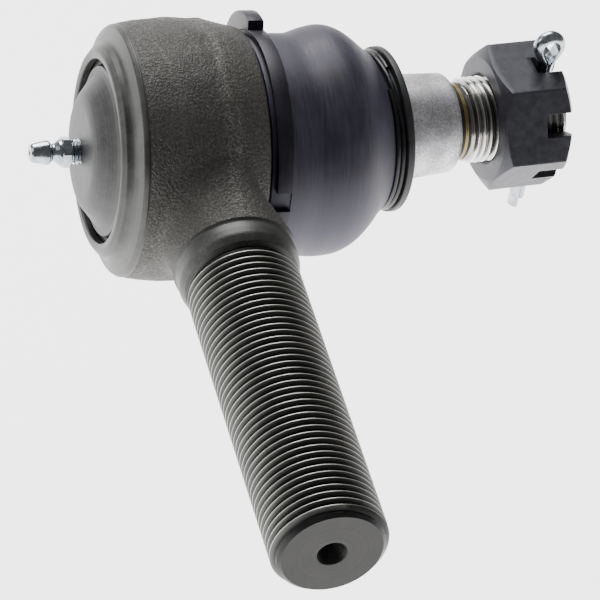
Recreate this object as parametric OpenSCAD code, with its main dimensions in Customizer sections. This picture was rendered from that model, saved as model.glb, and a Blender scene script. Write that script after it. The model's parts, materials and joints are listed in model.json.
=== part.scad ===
// Greaseable tie rod end: a ball stud held in a forged socket with a threaded shank.
// Millimetres. The origin is the ball centre, the socket axis is +X (towards the nut),
// the shank points to -Y and +Z is up.

/* [Shank] */
// Distance from the ball centre to the end of the shank
shank_reach = 139.7; // [110:0.1:190]
// Major diameter of the shank thread, 1-1/8 inch
shank_d = 28.575; // [22:0.005:32]
// Length of the threaded part, end chamfer included
shank_thread_l = 89.4; // [40:0.1:92]
// Diameter of the machined collar above the thread
shank_collar_d = 31.4; // [30:0.1:40]
// Length of the machined collar
shank_collar_l = 6.1; // [4:0.1:12]
// Diameter of the lathe centre in the shank's end
centre_hole_d = 7.4; // [3:0.1:10]

/* [Socket] */
// Largest diameter of the forged barrel
barrel_d = 66.4; // [62:0.1:80]
// Diameter of the machined shoulder at the plug end
shoulder_d = 63.6; // [60:0.1:66]
// Distance from the ball centre to the crimped lip's crest
lip_reach = 26.5; // [25:0.1:32]
// Inner diameter of the crimped lip
lip_bore_d = 46.4; // [42:0.1:49]
// Bore that holds the two bearings
socket_bore_d = 48; // [46:0.1:52]
// Distance from the ball centre to the barrel's face under the boot
barrel_face_reach = 11; // [9:0.1:14]
// Diameter of the neck that carries the boot
neck_d = 51; // [48:0.1:54]
// Length of that neck
neck_l = 5.2; // [4:0.1:8]

/* [Ball stud] */
// Ball diameter, 1-1/2 inch
ball_d = 38.1; // [36:0.1:40]
// Diameter of the stud's neck next to the ball
stud_neck_d = 20.4; // [18:0.1:22]
// Diameter of the taper at its large end
taper_d = 28.6; // [26:0.1:30]
// Length gained for each unit of diameter lost on the taper
taper_ratio = 8; // [6:0.5:12]
// Distance from the ball centre to the taper's large end
taper_start = 44; // [42:0.5:46]
// Distance from the ball centre to the taper's small end
taper_end = 67.4; // [64:0.1:70]
// Major diameter of the stud thread, 7/8 inch
stud_thread_d = 22.225; // [20:0.005:24]
// Distance from the ball centre to the stud's end
stud_reach = 97.4; // [96:0.1:104]
// Angle the stud rests at, turned about Z towards +Y
rest_yaw = 4.4; // [-6:0.1:6]
// Angle the stud rests at, tipped up towards +Z
rest_pitch = 1.5; // [-4:0.1:4]

/* [Castle nut] */
// Width across the nut's flats, 1-5/16 inch
nut_af = 33.34; // [32:0.01:40]
// Height of the nut, slots included
nut_h = 19.05; // [17:0.05:22]
// Distance from the ball centre to the nut's bearing face
nut_start = 77.6; // [74:0.1:78]
// Width of a cotter slot
slot_w = 6.1; // [4.8:0.1:6.5]
// Depth of a cotter slot
slot_depth = 6.4; // [5:0.1:7]
// Diameter of the cotter pin's closed legs
cotter_d = 3.9; // [2.5:0.1:4.1]
// Length of the cotter pin's longer leg, under the eye
cotter_l = 49; // [40:0.5:54]

/* [Dust boot] */
// Diameter of the boot where the band ends
boot_base_d = 57.4; // [56.6:0.1:60]
// Largest diameter of the boot's bulge
boot_bulge_d = 58.8; // [57:0.1:66]
// Wall of the boot
boot_wall = 2.4; // [1.8:0.1:3]
// Diameter of the boot's mouth
boot_mouth_d = 43; // [41:0.1:46]
// Distance from the ball centre to the boot's mouth
boot_mouth_reach = 46; // [44:0.1:47]
// Width of the steel band around the boot's base
band_w = 4.1; // [3:0.1:5]
// Thickness of that band
band_t = 1.5; // [1:0.1:2]

/* [Plug and grease fitting] */
// Distance from the ball centre to the plug's flat top
plug_reach = 30.6; // [30:0.1:34]
// Sheet thickness of the pressed plug
plug_t = 2.8; // [2:0.1:3.2]
// Thread diameter of the grease fitting, 1/4 inch
fitting_d = 6.35; // [5:0.05:8]
// Width across the fitting's hexagon
fitting_af = 7.14; // [7:0.01:9]
// Distance from the ball centre to the fitting's tip
fitting_reach = 43.4; // [43:0.1:48]

/* [Hidden] */
$fn = 96;

// Clearances that the fits use
run_gap = 0.05;    // a sliding or turning fit, on the radius
seat_gap = 0.02;   // faces that are pressed together
soft_gap = 0.3;    // between soft pieces on different bodies
end_run = 0.01;    // how far a cutter runs past the face that it opens

// Ball and bearings
ball_r = ball_d / 2;
bore_r = socket_bore_d / 2;
bearing_split = 1;                              // gap of one bearing from the ball's equator
seat_travel = 0.6;                              // room behind the pressure seat
spring_r = 1;                                   // wire of the preload spring
throat_angle = 58.5;                            // the throat's edge, seen from the ball centre
throat_u = (ball_r + run_gap) * cos(throat_angle);
throat_r = (ball_r + run_gap) * sin(throat_angle);
cone_start = 3;                                 // where the bore starts to close
cone_end_r = throat_r + 2.6;
bearing_wall = 0.35;                            // flat left at the bearing's thin edge

// Socket
barrel_r = barrel_d / 2;
shoulder_r = shoulder_d / 2;
barrel_bulge = 58;                              // radius of the barrel's rounded side
barrel_mid = -8;                                // where the barrel is widest
lip_r = lip_bore_d / 2;
neck_r = neck_d / 2;
neck_end = barrel_face_reach + neck_l;
flare_angle = 26;                               // half angle of the throat's flare
lip_t = 2;                                      // thickness of the crimped lip
flange_front = lip_reach - lip_t;               // outer face of the plug's flange
flange_back = flange_front - plug_t;            // inner face of the plug's flange
flange_r = bore_r + 1.3;
shoulder_reach = lip_reach - 3.6;
parting_w = 2.4;                                // width of the ground parting line
parting_h = 0.35;                               // how far that line stands out
root_y = 24;                                    // depth of the root inside the barrel
root_fillet = 20;                               // radius of the hollow between barrel and shank
root_angle = 48;                                // how much of that hollow is drawn
boot_room = 1.6;                                // room left round the boot's band
root_flank = shank_collar_d / 2 + 0.6;          // the root is flat past here, beside the boot
collar_end = shank_reach - shank_thread_l - 1.8;
collar_start = collar_end - shank_collar_l;
thread_start = shank_reach - shank_thread_l;
thread_depth = 1.35;
end_chamfer = 2.1;

// Plug
plug_flat_r = 9;
plug_knuckle_r = 12;
plug_dome_angle = acos(1 - (plug_reach - flange_front) / plug_knuckle_r);
plug_dome_r = plug_flat_r + plug_knuckle_r * sin(plug_dome_angle);

// Grease fitting
hex_front = plug_reach + 4.9;                   // outer face of the hexagon
hex_back = plug_reach + 2.6;
fitting_back = plug_reach - plug_t - 1.3;
fitting_bore = 1.5;                             // radius of the spring chamber
check_r = 1.2;
check_u = fitting_reach - 1.9;                  // the check ball's centre
check_spring_r = 0.18;

// Stud
neck_flat_end = 26;                             // where the stud's neck starts to swell
thread_u = taper_end + 3.4;                     // start of the stud thread
stud_chamfer = 1.6;
cotter_u = nut_start + nut_h - slot_depth / 2 - 0.9;
cotter_hole_d = cotter_d + 0.4;
cotter_split = 0.3;                             // slot between the legs past the nut
cotter_step = 2.8;                              // how much one leg is shorter
eye_r = 3.1;                                    // mean radius of the cotter pin's eye
eye_wire = cotter_d / 2 - 0.6;

// Boot
band_start = barrel_face_reach + 1.4;
band_end = band_start + band_w;
boot_grip_out = boot_base_d / 2 - 0.3;          // the boot's base under the band
band_in = boot_grip_out + 0.1;
boot_grip_r = neck_r + seat_gap;
collar_start_u = boot_mouth_reach - 1.8;
groove_end = boot_mouth_reach + 3;
collar_lip_end = boot_mouth_reach + 5;
collar_out = boot_mouth_d / 2 - 0.2;
groove_r = collar_out - 2;
wire_r = 0.75;
lug_from = 16;                                  // the band's lug, about +X from +Y
lug_to = 60;
lug_top_angle = 38;
lug_h = 4.9;                                    // height of the lug over the band
lug_fall = 0.0052;                              // drop of its top for each squared degree
band_gap_angle = 166;                           // the band's open joint
band_gap = 10;

// ---- Helpers -------------------------------------------------------------------------

// Points of an arc round (cx, cy), from angle a0 to a1 in n steps.
function arc(cx, cy, r, a0, a1, n) =
    [for (i = [0:n]) let(a = a0 + (a1 - a0) * i / n) [cx + r * cos(a), cy + r * sin(a)]];

// Radius of the stud's taper at a distance u from the ball centre.
function taper_r(u) = taper_d / 2 - (u - taper_start) / (2 * taper_ratio);

// Turns a piece drawn along +Z onto the socket axis: its x, y and z become +Y, +Z and +X.
module along_socket() { rotate([90, 0, 90]) children(); }

// The same onto the stud's axis, in its rest pose.
module along_stud() { rotate([0, -rest_pitch, rest_yaw]) along_socket() children(); }

// Turns a piece drawn along +Z onto the shank's axis, -Y.
module along_shank() { rotate([90, 0, 0]) children(); }

// A solid of revolution from [radius, distance] points.
module lathe(points) { rotate_extrude() polygon(points); }

// Unit vector from p to q.
function toward(p, q) = (q - p) / norm(q - p);

// Direction of the path at point i.
function heading(path, i) = toward(path[max(i - 1, 0)], path[min(i + 1, len(path) - 1)]);

// A round wire of radius r along a path that winds about +Z.
module wire(path, r, sides = 8) {
    rings = [for (i = [0:len(path) - 1])
        let(d = heading(path, i), a = toward([0, 0, 0], cross([0, 0, 1], d)), b = cross(d, a))
        for (k = [0:sides - 1]) path[i] + r * (cos(360 * k / sides) * a + sin(360 * k / sides) * b)];
    last = len(path) - 1;
    sides_faces = [for (i = [0:last - 1]) for (k = [0:sides - 1])
        [i * sides + k, i * sides + (k + 1) % sides,
         (i + 1) * sides + (k + 1) % sides, (i + 1) * sides + k]];
    start = [[for (k = [0:sides - 1]) sides - 1 - k]];
    end = [[for (k = [0:sides - 1]) last * sides + k]];
    polyhedron(rings, concat(start, sides_faces, end));
}

// Path of a coil: turns from height z0 to z1 while its radius goes from r0 to r1.
function coil(r0, r1, z0, z1, turns, steps) =
    [for (i = [0:steps]) let(t = i / steps, r = r0 + (r1 - r0) * t, a = 360 * turns * t)
        [r * cos(a), r * sin(a), z0 + (z1 - z0) * t]];

// ---- Socket ----------------------------------------------------------------------------

// Outside of the forged barrel, lip and neck, as [radius, distance] points.
function barrel_outline() = concat(
    [[lip_r, -lip_reach + 0.4]],
    arc(lip_r + 1.6, -lip_reach + 1.2, 1.2, 225, 315, 6),
    [[lip_r + 3.6, -lip_reach + 1.5], [lip_r + 4.5, -shoulder_reach - 0.9]],
    [[shoulder_r - 2.6, -shoulder_reach - 0.5]],
    arc(shoulder_r - 2, -shoulder_reach + 1.5, 2, -90, 0, 6),
    arc(barrel_r - barrel_bulge, barrel_mid, barrel_bulge, -13, 15, 16),
    arc(barrel_r - 4.9, barrel_face_reach - 2.6, 2.6, 15, 90, 6),
    [[neck_r, barrel_face_reach], [neck_r, neck_end - 0.6], [neck_r - 0.6, neck_end]]
);

// Everything inside the barrel: plug seat, bearing bore, cone and flared throat.
module socket_cavity() {
    lathe([
        [0, -lip_reach - 1], [lip_r, -lip_reach - 1], [lip_r, -flange_front],
        [flange_r, -flange_front], [flange_r, -flange_back], [bore_r, -flange_back],
        [bore_r, cone_start], [cone_end_r, throat_u], [throat_r + 0.6, throat_u],
        [throat_r + 0.6 + (neck_end - throat_u) * tan(flare_angle), neck_end + end_run],
        [0, neck_end + end_run]
    ]);
}

// Root, collar and threaded shank, as [radius, distance] points.
function shank_outline() = concat(
    [[0, root_y], [shank_collar_d / 2 + root_fillet * (1 - cos(root_angle)) + 0.3, root_y]],
    arc(shank_collar_d / 2 + 0.3 + root_fillet, collar_start, root_fillet, 180 + root_angle, 180, 10),
    [[shank_collar_d / 2, collar_start + 0.4], [shank_collar_d / 2, collar_end - 0.8],
     [shank_d / 2 - thread_depth, collar_end + 0.5], [shank_d / 2 - thread_depth, thread_start],
     [shank_d / 2, thread_start + thread_depth], [shank_d / 2, shank_reach - end_chamfer],
     [shank_d / 2 - end_chamfer, shank_reach], [0, shank_reach]]
);

module housing() color([0.27, 0.27, 0.27]) {
    difference() {
        union() {
            along_socket() lathe(concat([[0, -lip_reach + 0.4]], barrel_outline(), [[0, neck_end]]));
            difference() {
                along_shank() lathe(shank_outline());
                along_socket() translate([0, 0, barrel_face_reach]) cylinder(
                    h = boot_mouth_reach, r = band_in + band_t + boot_room);
                translate([root_flank, -collar_start, -barrel_r])
                    cube([barrel_r, barrel_r, barrel_d]);
            }
            along_socket() translate([0, 0, -parting_w / 2])
                cylinder(h = parting_w, r = barrel_r + parting_h);
        }
        along_socket() socket_cavity();
        along_shank() translate([0, 0, shank_reach - 7])
            cylinder(h = 7 + end_run, d = centre_hole_d * 0.45);
        along_shank() translate([0, 0, shank_reach - centre_hole_d / 2])
            cylinder(h = centre_hole_d / 2 + end_run, d1 = 0.2, d2 = centre_hole_d);
    }
}

module throat_bearing() color([0.55, 0.5, 0.42]) along_socket() lathe(concat(
    arc(0, 0, ball_r + run_gap, asin(bearing_split / ball_r), 90 - throat_angle, 16),
    [[throat_r + bearing_wall, throat_u - seat_gap], [cone_end_r - seat_gap, throat_u - seat_gap],
     [bore_r - seat_gap, cone_start - seat_gap], [bore_r - seat_gap, bearing_split]]
));

module pressure_seat() color([0.5, 0.46, 0.4]) along_socket() lathe(concat(
    arc(0, 0, ball_r + run_gap, -asin(bearing_split / ball_r), -78, 18),
    [[4, -flange_back + seat_travel + 0.3], [13, -flange_back + seat_travel + 0.3],
     [13, -flange_back + seat_travel - 0.5], [14, -flange_back + seat_travel],
     [bore_r - 1.5, -flange_back + seat_travel], [bore_r - run_gap, -flange_back + seat_travel + 1.5],
     [bore_r - run_gap, -bearing_split]]
));

module preload_spring() color([0.35, 0.35, 0.37]) along_socket() wire(
    coil(10.5, 8, -flange_back + seat_travel + 0.3 - spring_r - seat_gap,
         -plug_reach + plug_t + spring_r + seat_gap, 2.6, 64), spring_r);

// The plug's outer or inner face: a flat disc, then a rolled edge.
function plug_face(inset) = concat(
    [[0, -plug_reach + inset]],
    arc(plug_flat_r, -plug_reach + plug_knuckle_r, plug_knuckle_r - inset, -90,
        -90 + plug_dome_angle, 12)
);

module end_plug() color([0.36, 0.36, 0.36]) along_socket() difference() {
    lathe(concat(plug_face(0),
        [[plug_dome_r + 0.5, -flange_front + seat_gap], [flange_r - seat_gap, -flange_front + seat_gap],
         [flange_r - seat_gap, -flange_back], [plug_dome_r, -flange_back], [0, -flange_back]]));
    lathe(concat(plug_face(plug_t), [[plug_dome_r - plug_t, -flange_back + end_run],
                                     [0, -flange_back + end_run]]));
    translate([0, 0, -plug_reach - 1]) cylinder(h = plug_t + 2, r = fitting_d / 2 + seat_gap);
}

module grease_fitting() color([0.78, 0.8, 0.82]) along_socket() difference() {
    union() {
        lathe([
            [0, -fitting_reach], [2, -fitting_reach], [2.4, -fitting_reach + 0.4],
            [3.1, -fitting_reach + 3.8], [3.1, -fitting_reach + 4.7], [2.35, -fitting_reach + 5.5],
            [2.35, -fitting_reach + 6.1], [fitting_d / 2 - 0.1, -hex_front - 0.3],
            [fitting_d / 2, -hex_front], [fitting_d / 2, -fitting_back - 0.5],
            [fitting_d / 2 - 0.5, -fitting_back], [0, -fitting_back]
        ]);
        translate([0, 0, -hex_front]) cylinder(h = hex_front - hex_back, r = fitting_af / sqrt(3), $fn = 6);
    }
    translate([0, 0, -fitting_reach - end_run]) cylinder(h = 3, r = 0.7);
    translate([0, 0, -check_u]) sphere(r = check_r + run_gap);
    translate([0, 0, -check_u]) cylinder(h = check_u, r = fitting_bore);
}

module check_ball() color([0.7, 0.7, 0.72]) along_socket() translate([0, 0, -check_u])
    sphere(r = check_r);

module check_spring() color([0.6, 0.6, 0.62]) along_socket() wire(
    coil(1.05, 1.05, -check_u + check_r + check_spring_r, -fitting_back - 0.4, 6, 60),
    check_spring_r, 6);

// ---- Ball stud -------------------------------------------------------------------------

module ball_stud() color([0.62, 0.62, 0.61]) along_stud() difference() {
    lathe(concat(
        [[0, -ball_r * cos(20)], [ball_r * sin(20), -ball_r * cos(20)]],
        arc(0, 0, ball_r, -70, 90 - asin(stud_neck_d / 2 / ball_r), 40),
        [[stud_neck_d / 2, neck_flat_end], [taper_r(taper_start) - 1.5, taper_start - 6],
         [taper_r(taper_start), taper_start], [taper_r(taper_end - 0.8), taper_end - 0.8],
         [taper_r(taper_end) - 0.8, taper_end], [stud_thread_d / 2 - 0.7, taper_end + 0.6],
         [stud_thread_d / 2 - 0.9, thread_u - 0.6], [stud_thread_d / 2, thread_u + 0.3],
         [stud_thread_d / 2, stud_reach - stud_chamfer],
         [stud_thread_d / 2 - stud_chamfer, stud_reach], [0, stud_reach]]
    ));
    translate([0, 0, cotter_u]) rotate([-90, 0, 0])
        cylinder(h = stud_thread_d + 2, d = cotter_hole_d, center = true);
}

module castle_nut() color([0.16, 0.16, 0.17]) along_stud() translate([0, 0, nut_start]) difference() {
    corner = nut_af / sqrt(3);
    intersection() {
        cylinder(h = nut_h, r = corner, $fn = 6);
        lathe([[0, 0], [nut_af / 2 - 0.3, 0], [corner + 0.1, (corner - nut_af / 2 + 0.4) * tan(30)],
               [corner + 0.1, nut_h - (corner - nut_af / 2 + 0.4) * tan(30)],
               [nut_af / 2 - 0.3, nut_h], [0, nut_h]]);
    }
    translate([0, 0, -end_run]) cylinder(h = nut_h + 2 * end_run, r = stud_thread_d / 2 + seat_gap);
    translate([0, 0, -end_run]) cylinder(h = 0.9, r1 = stud_thread_d / 2 + 0.9, r2 = stud_thread_d / 2);
    for (i = [0:2]) rotate([0, 0, 30 + 60 * i])
        translate([-corner - 1, -slot_w / 2, nut_h - slot_depth]) cube([2 * corner + 2, slot_w, slot_depth + 1]);
}

// The legs run straight through the nut's slots, as fitted before their ends are bent. They
// are one solid that splits near the end, and the eye stands above the nut.
module cotter_pin() color([0.8, 0.81, 0.83]) {
    eye_foot = nut_af / 2 + 0.8;
    along_stud() translate([0, 0, cotter_u]) rotate([-90, 0, 0]) {
        difference() {
            translate([0, 0, eye_foot - cotter_l]) cylinder(h = cotter_l + 1, d = cotter_d);
            translate([-cotter_d, -cotter_split / 2, eye_foot - cotter_l - 1])
                cube([2 * cotter_d, cotter_split, cotter_l - 2 * eye_foot]);
            translate([-cotter_d, -cotter_d, eye_foot - cotter_l - 1])
                cube([2 * cotter_d, cotter_d, cotter_step + 1]);
        }
        translate([0, 0, eye_foot + eye_r + eye_wire]) rotate([0, 90, 0])
            rotate_extrude() translate([eye_r, 0]) circle(r = eye_wire, $fn = 32);
    }
}

// ---- Boot ------------------------------------------------------------------------------

// Centre line of the boot's wall as [distance, radius], base to mouth.
function boot_line() = let(b = boot_base_d / 2 - boot_wall / 2, g = boot_bulge_d / 2 - boot_wall / 2,
                           m = boot_mouth_d / 2 - boot_wall / 2, u0 = band_end + 0.2,
                           u1 = boot_mouth_reach - 0.6) [
    [u0, b], [u0 + (u1 - u0) * 0.14, b - 0.1],
    [u0 + (u1 - u0) * 0.32, b + (g - b) * 0.55], [u0 + (u1 - u0) * 0.48, g],
    [u0 + (u1 - u0) * 0.60, g - (g - m) * 0.05], [u0 + (u1 - u0) * 0.70, g - (g - m) * 0.22],
    [u0 + (u1 - u0) * 0.80, g - (g - m) * 0.48], [u0 + (u1 - u0) * 0.90, g - (g - m) * 0.76],
    [u1, m + 0.2]
];

// Share of the stud's swing that the boot takes at a distance u.
function boot_share(u) = let(t = min(1, max(0, (u - band_end) / (boot_mouth_reach - band_end))))
    t * t * (3 - 2 * t);

// A point of the boot at distance u, radius r and angle a, carried by the stud's swing.
function boot_point(u, r, a) = let(w = boot_share(u), p = rest_pitch * w, q = rest_yaw * w,
        y = r * cos(a), z0 = r * sin(a), x1 = u * cos(p) - z0 * sin(p), z = u * sin(p) + z0 * cos(p))
    [x1 * cos(q) - y * sin(q), x1 * sin(q) + y * cos(q), z];

// The wall's outline: out along one side of the centre line and back along the other.
function boot_section() = let(line = boot_line(), n = len(line) - 1, h = boot_wall / 2,
        side = [for (i = [0:n]) let(d = heading(line, i)) [-d[1], d[0]] * h])
    concat([for (i = [0:n]) line[i] + side[i]], [for (i = [n:-1:0]) line[i] - side[i]]);

module dust_boot() color([0.13, 0.13, 0.15]) {
    section = boot_section();
    n = len(section);
    steps = 48;
    points = [for (k = [0:steps - 1]) for (q = section) boot_point(q[0], q[1], 360 * k / steps)];
    faces = [for (k = [0:steps - 1]) for (i = [0:n - 1]) let(j = (i + 1) % n, m = (k + 1) % steps)
        [k * n + i, k * n + j, m * n + j, m * n + i]];
    polyhedron(points, faces);
    along_socket() lathe([
        [boot_grip_r, barrel_face_reach + soft_gap], [boot_grip_out, barrel_face_reach + soft_gap],
        [boot_grip_out, band_end + 0.6], [boot_grip_r, band_end + 0.6]
    ]);
}

module boot_band() color([0.1, 0.1, 0.11]) along_socket() {
    inner = band_in + seat_gap;
    rotate([0, 0, band_gap_angle + band_gap / 2]) rotate_extrude(angle = 360 - band_gap)
        translate([inner, band_start]) square([band_t, band_w]);
    base = inner + band_t;
    translate([0, 0, band_start]) linear_extrude(band_w) polygon(concat(
        [for (a = [lug_from:2:lug_to])
            (base + lug_h - lug_fall * pow(a - lug_top_angle, 2)) * [cos(a), sin(a)]],
        [for (a = [lug_to:-2:lug_from]) (base - 0.4) * [cos(a), sin(a)]]
    ));
}

module boot_collar() color([0.1, 0.1, 0.11]) along_stud() lathe([
    [taper_r(collar_start_u) + run_gap, collar_start_u], [groove_r, collar_start_u],
    [groove_r, groove_end], [collar_out, groove_end], [collar_out, collar_lip_end - 0.5],
    [collar_out - 0.5, collar_lip_end], [taper_r(collar_lip_end) + run_gap, collar_lip_end]
]);

module wire_ring() color([0.08, 0.08, 0.09]) along_stud() rotate([0, 0, 150])
    rotate_extrude(angle = 346) translate([groove_r + wire_r + seat_gap, groove_end - 2 * wire_r])
        union() {
            circle(r = wire_r, $fn = 32);
            translate([0, wire_r * 0.9]) circle(r = wire_r, $fn = 32);
        }

housing();
throat_bearing();
pressure_seat();
preload_spring();
end_plug();
grease_fitting();
check_ball();
check_spring();
ball_stud();
dust_boot();
boot_band();
boot_collar();
wire_ring();
castle_nut();
cotter_pin();
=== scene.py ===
"""Tie rod end: the visible surfaces, finishes, light and camera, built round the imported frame.

Sizes are in millimetres and turn to metres where a mesh is made. The ball centre is the origin,
the socket's axis is +X, the threaded shank points to -Y and +Z is up.
"""
import json
import logging
import math
from dataclasses import dataclass
from enum import Enum
from typing import Callable, Optional, Sequence, Union

import bmesh
import bpy
import numpy as np
from mathutils import Matrix, Vector


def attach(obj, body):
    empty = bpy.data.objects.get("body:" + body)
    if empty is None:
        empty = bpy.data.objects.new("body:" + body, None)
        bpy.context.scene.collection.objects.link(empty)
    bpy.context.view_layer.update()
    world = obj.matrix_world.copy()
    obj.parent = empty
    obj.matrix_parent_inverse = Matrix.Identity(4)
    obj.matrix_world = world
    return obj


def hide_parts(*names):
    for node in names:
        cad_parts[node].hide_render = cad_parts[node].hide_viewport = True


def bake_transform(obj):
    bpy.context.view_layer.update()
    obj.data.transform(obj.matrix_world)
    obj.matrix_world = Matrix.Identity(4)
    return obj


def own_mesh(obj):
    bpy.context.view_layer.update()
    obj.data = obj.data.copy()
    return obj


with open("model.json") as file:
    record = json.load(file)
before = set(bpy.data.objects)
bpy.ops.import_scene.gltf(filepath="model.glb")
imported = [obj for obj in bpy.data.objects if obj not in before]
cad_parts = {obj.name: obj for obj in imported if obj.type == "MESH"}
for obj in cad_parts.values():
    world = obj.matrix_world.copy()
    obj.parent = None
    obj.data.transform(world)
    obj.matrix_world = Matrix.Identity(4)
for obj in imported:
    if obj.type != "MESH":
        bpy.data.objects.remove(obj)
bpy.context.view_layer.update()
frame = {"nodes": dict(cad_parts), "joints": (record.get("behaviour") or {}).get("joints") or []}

log = logging.getLogger("tie_rod_end")
MM = 0.001
MERGE = 1e-6
TAU = 2 * math.pi
Array = np.ndarray
Number = Union[Array, float]
Corner = tuple[float, float, float]
Point = tuple[float, float, float]


# ---- Frame ------------------------------------------------------------------------------


def joint_axis(name: str) -> Array:
    """Unit axis of a joint of the frame.

    Args:
        name: the joint's name.

    Returns:
        The axis as an array of three numbers.
    """
    joint = next(j for j in frame["joints"] if j["name"] == name)
    return np.array(joint["axis"], dtype=float)


@dataclass(frozen=True)
class Axis:
    """A right-handed set of directions: along the axis, across it, and square to both."""

    along: Point
    across: Point

    def matrix(self) -> Array:
        """Columns are the three directions in the row frame."""
        u = np.array(self.along) / np.linalg.norm(self.along)
        q = np.cross(u, self.across)
        q /= np.linalg.norm(q)
        return np.stack([u, np.cross(q, u), q], axis=1)

    def place(self, points: Array) -> Array:
        """Carries points from (along, across, square) into the row frame.

        Args:
            points: array whose last axis holds the three local coordinates.

        Returns:
            The same array in row coordinates.
        """
        return points @ self.matrix().T

    def local(self, points: Array) -> Array:
        """Carries row points back into local coordinates.

        Args:
            points: array whose last axis holds row coordinates.

        Returns:
            The same array in local coordinates.
        """
        return points @ self.matrix()


STUD_DIRECTION = joint_axis("stud_spin")
REST_YAW = math.atan2(STUD_DIRECTION[1], STUD_DIRECTION[0])
REST_PITCH = math.asin(STUD_DIRECTION[2])
SOCKET_AXIS = Axis((1, 0, 0), (0, 1, 0))
SHANK_AXIS = Axis((0, -1, 0), (1, 0, 0))
STUD_AXIS = Axis(tuple(STUD_DIRECTION), (-math.sin(REST_YAW), math.cos(REST_YAW), 0))


# ---- Profiles and grids -------------------------------------------------------------------


def rounded(corners: Sequence[Corner], steps: int = 5) -> Array:
    """Outline through corners, each with its own fillet radius.

    A fillet leaves each side at radius / tan(half the corner's angle) and is a quadratic
    curve between those two points with the corner as its control point.

    Args:
        corners: (distance, radius, fillet) of each corner.
        steps: points on each fillet.

    Returns:
        Points as an (n, 2) array.
    """
    line = []
    t = np.linspace(0, 1, steps)[:, None]
    for i, (u, r, fillet) in enumerate(corners):
        here = np.array([u, r])
        if fillet == 0 or i in (0, len(corners) - 1):
            line.append(here[None])
            continue
        sides = [np.array(corners[k][:2]) - here for k in (i - 1, i + 1)]
        lengths = [np.linalg.norm(s) for s in sides]
        cosine = np.clip(sides[0] @ sides[1] / (lengths[0] * lengths[1]), -1, 1)
        reach = min(fillet / math.tan(math.acos(cosine) / 2), 0.49 * min(lengths))
        a, b = (here + s / n * reach for s, n in zip(sides, lengths))
        line.append((1 - t) ** 2 * a + 2 * t * (1 - t) * here + t ** 2 * b)
    return np.concatenate(line)


def refined(profile: Array, step: float) -> Array:
    """Adds points so that no stretch of an outline is longer than step.

    Args:
        profile: (n, 2) outline.
        step: longest stretch that is left.

    Returns:
        The denser outline.
    """
    lengths = np.linalg.norm(np.diff(profile, axis=0), axis=1)
    counts = np.maximum(1, np.ceil(lengths / step)).astype(int)
    where = np.concatenate([i + np.arange(n) / n for i, n in enumerate(counts)] + [[len(counts)]])
    index = np.arange(len(profile))
    return np.stack([np.interp(where, index, profile[:, k]) for k in (0, 1)], axis=1)


def curve_through(points: Array, samples: int) -> Array:
    """Catmull-Rom curve: each span is a cubic whose end slopes are half its neighbours' chord.

    Args:
        points: (n, d) points to pass through.
        samples: number of points to return.

    Returns:
        (samples, d) points.
    """
    ends = 2 * points[[0, -1]] - points[[1, -2]]
    p = np.concatenate([ends[:1], points, ends[1:]])
    at = np.linspace(0, len(points) - 1, samples)
    i = np.minimum(at.astype(int), len(points) - 2)
    t = (at - i)[:, None]
    a, b, c, d = (p[i + k] for k in range(4))
    return 0.5 * (2 * b + (c - a) * t + (2 * a - 5 * b + 4 * c - d) * t ** 2
                  + (3 * b - a - 3 * c + d) * t ** 3)


def around(distance: Number, radius: Number, angle: Array) -> Array:
    """Points (u, r cos a, r sin a) for distance u, radius r and angle a, broadcast together.

    Args:
        distance: places along the axis.
        radius: distances from it.
        angle: angles about it in radians.

    Returns:
        The points, with a last axis of three.
    """
    parts = distance, radius * np.cos(angle), radius * np.sin(angle)
    return np.stack(np.broadcast_arrays(*parts), axis=-1)


def lathe(profile: Array, segments: int) -> Array:
    """Surface of revolution of an outline, at even angles about the axis.

    Args:
        profile: (n, 2) outline of distance and radius.
        segments: columns round the axis.

    Returns:
        (n, segments, 3) grid.
    """
    return around(profile[:, :1], profile[:, 1:], np.arange(segments) * TAU / segments)


def sweep(path: Array, section: Array, up: Array, closed: bool = False) -> Array:
    """Carries a section along a path; an open path is closed with a point at each end.

    The section's first coordinate lies along the part of `up` that is square to the path, and
    its second along the cross product of the path's direction and that.

    Args:
        path: (n, 3) centre line.
        section: (m, 2) outline of the section.
        up: (3,) or (n, 3) direction that the section's first axis keeps to.
        closed: whether the path joins its own start.

    Returns:
        (rows, m, 3) grid.
    """
    ring = np.concatenate([path[-1:], path, path[:1]]) if closed else path
    ahead = np.gradient(ring, axis=0)
    ahead = ahead[1:-1] if closed else ahead
    ahead /= np.linalg.norm(ahead, axis=1, keepdims=True)
    first = up - (ahead * up).sum(axis=1, keepdims=True) * ahead
    first /= np.linalg.norm(first, axis=1, keepdims=True)
    second = np.cross(ahead, first)
    grid = path[:, None] + section[:, :1] * first[:, None] + section[:, 1:] * second[:, None]
    if closed:
        return np.concatenate([grid, grid[:1]])
    caps = [np.repeat(path[k][None, None], len(section), axis=1) for k in (0, -1)]
    return np.concatenate([caps[0], grid, caps[1]])


def circle(radius: float, sides: int) -> Array:
    """Points of a circle of that radius."""
    a = np.arange(sides) * TAU / sides
    return radius * np.stack([np.cos(a), np.sin(a)], axis=1)


def ripple(points: Array, wavelength: float, seed: int) -> Array:
    """Smooth uneven field: the mean of sixteen plane waves in random directions.

    Args:
        points: (..., 3) places.
        wavelength: mean length of the waves.
        seed: picks the directions and phases.

    Returns:
        Values of about -1 to 1, one for each point.
    """
    rng = np.random.default_rng(seed)
    ways = rng.normal(size=(3, 16))
    ways *= TAU / wavelength * rng.uniform(0.7, 1.3, 16) / np.linalg.norm(ways, axis=0)
    return np.sin(points @ ways + rng.uniform(0, TAU, 16)).mean(axis=-1) * 2.5


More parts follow.
